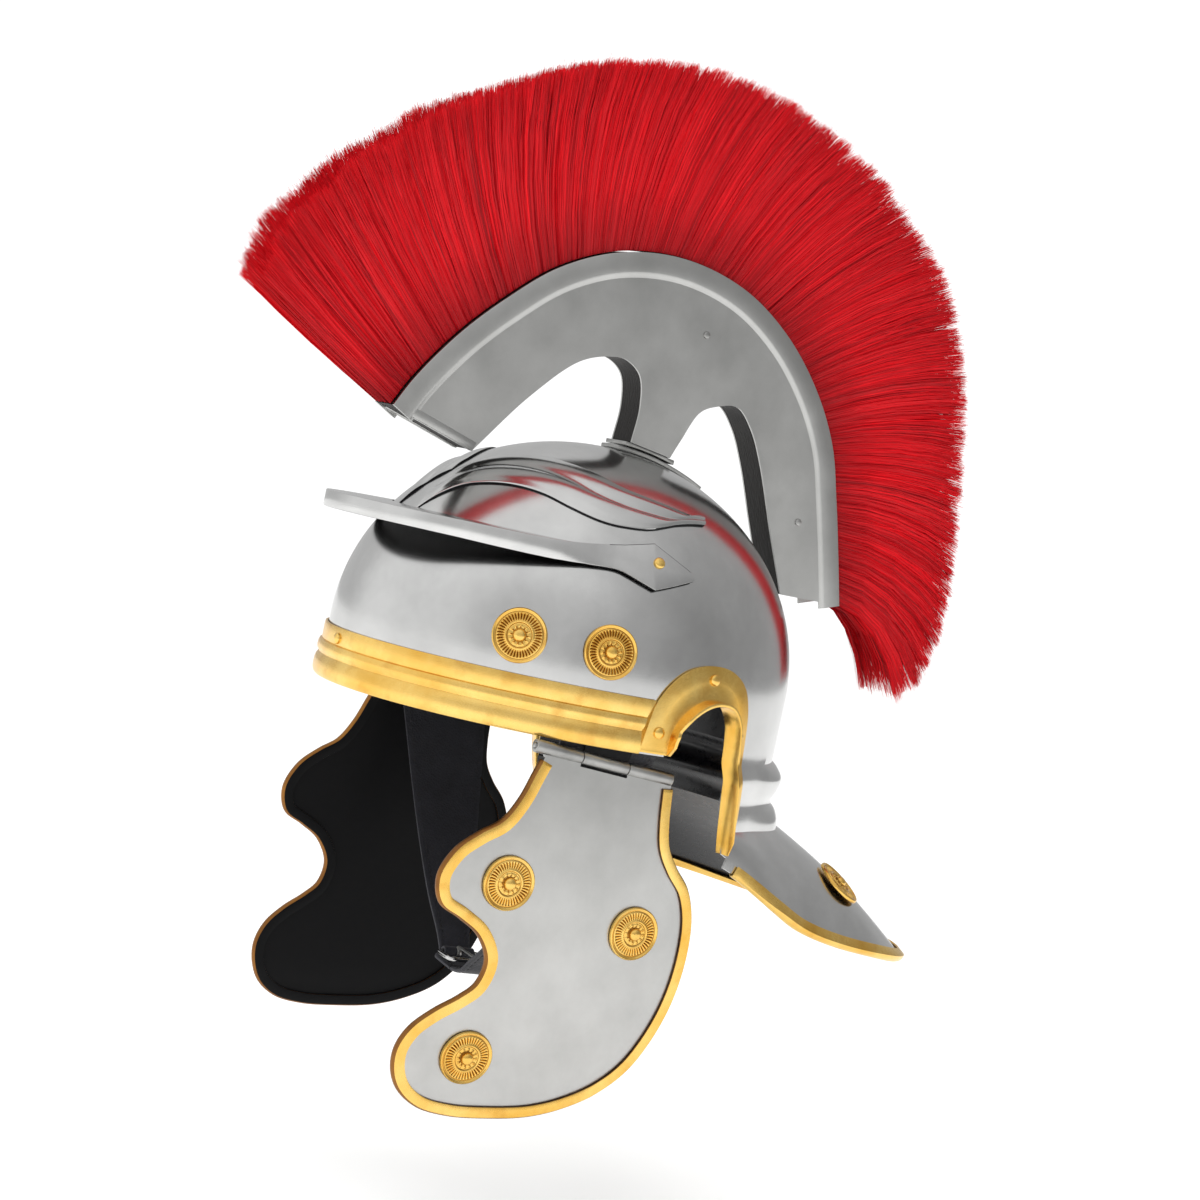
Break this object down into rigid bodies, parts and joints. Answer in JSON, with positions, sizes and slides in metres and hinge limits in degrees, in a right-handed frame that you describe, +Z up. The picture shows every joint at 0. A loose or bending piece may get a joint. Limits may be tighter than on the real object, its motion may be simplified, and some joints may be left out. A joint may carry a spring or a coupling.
{
  "type": "roman legionary helmet",
  "caption": "Roman legionary parade helmet: steel bowl with neck guard, brass trim, hinged cheek guards, chin strap and a tall red crest.",
  "frame": {"origin": "centre of the head opening, level with the brow band's lower edge", "axes": "+Z up through the crest, -Y out of the face, +X to the wearer's left"},
  "size_m": [0.2308, 0.422, 0.5137],
  "materials": {
    "steel": "satin polished",
    "brass": "satin polished",
    "fitting": "dull",
    "wood": "black stained",
    "hair": "dyed hair",
    "leather": "matt black"
  },
  "bodies": {
    "helmet": {"bowl": "steel", "brow_band": "brass", "brow_rivet": "brass", "peak": "steel", "peak_rivet_left": "brass", "peak_rivet_right": "brass", "ear_guard_left": "brass", "ear_guard_right": "brass", "ear_rivet_1_left": "brass", "ear_rivet_1_right": "brass", "ear_rivet_2_left": "brass", "ear_rivet_2_right": "brass", "ear_rivet_3_left": "brass", "ear_rivet_3_right": "brass", "neck_edging": "brass", "rosette_bowl_front_left": "brass", "rosette_bowl_front_right": "brass", "rosette_bowl_side_left": "brass", "rosette_bowl_side_right": "brass", "rosette_neck_left": "brass", "rosette_neck_right": "brass", "hinge_leaf_left": "fitting", "hinge_leaf_right": "fitting", "hinge_pin_left": "fitting", "hinge_pin_right": "fitting", "crest_plate_left": "steel", "crest_plate_right": "steel", "crest_core": "wood", "crest_foot": "fitting", "crest_socket": "fitting", "crest_nail_top_left": "fitting", "crest_nail_top_right": "fitting", "crest_nail_rear_left": "fitting", "crest_nail_rear_right": "fitting", "plume": "hair", "chin_strap_left": "leather", "chin_strap_right": "leather", "strap_rivet_left": "fitting", "strap_rivet_right": "fitting", "buckle_frame": "fitting", "buckle_tongue": "fitting"},
    "cheek_left": {"cheek_plate_left": "steel", "cheek_edging_left": "brass", "rosette_cheek_nose_left": "brass", "rosette_cheek_rear_left": "brass", "rosette_cheek_chin_left": "brass"},
    "cheek_right": {"cheek_plate_right": "steel", "cheek_edging_right": "brass", "rosette_cheek_nose_right": "brass", "rosette_cheek_rear_right": "brass", "rosette_cheek_chin_right": "brass"}
  },
  "joints": [
    {"name": "cheek_left_hinge", "type": "hinge", "parent": "helmet", "child": "cheek_left", "pos_m": [0.0965, -0.018, -0.0077], "axis": [0, -0.9958, 0.0916], "range_deg": [-8, 95]},
    {"name": "cheek_right_hinge", "type": "hinge", "parent": "helmet", "child": "cheek_right", "pos_m": [-0.0965, -0.018, -0.0077], "axis": [0, 0.9958, -0.0916], "range_deg": [-8, 95]}
  ]
}
